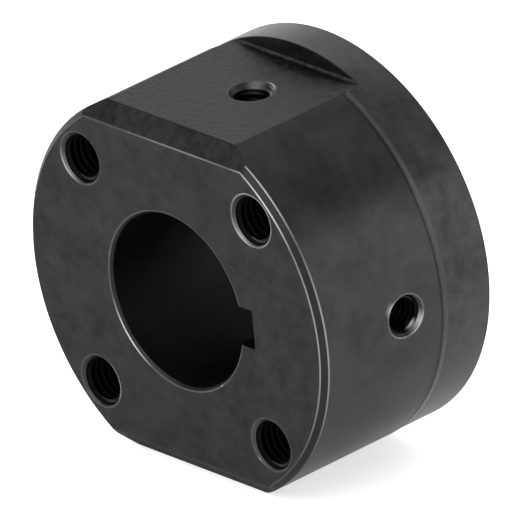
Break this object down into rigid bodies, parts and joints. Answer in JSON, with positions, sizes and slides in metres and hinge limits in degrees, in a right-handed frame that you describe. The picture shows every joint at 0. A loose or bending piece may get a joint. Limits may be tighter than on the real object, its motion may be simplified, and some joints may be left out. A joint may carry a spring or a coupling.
{
  "type": "keyed spacer sleeve",
  "caption": "Black steel sleeve with a keyed bore, milled flats, tapped face holes and set screw holes, to space parts on a shaft and turn with it.",
  "frame": {"origin": "the middle of the bore, halfway between the two end faces", "axes": "+Y along the bore, from the front face to the flange; +Z square to the two flats; +X towards the keyway"},
  "size_m": [0.08, 0.044, 0.0798],
  "materials": {
    "blackened_steel": "black oxide over turned and milled steel, satin, with bright metal at the worn chamfers"
  },
  "bodies": {
    "root": {"sleeve": "blackened_steel"}
  },
  "joints": []
}
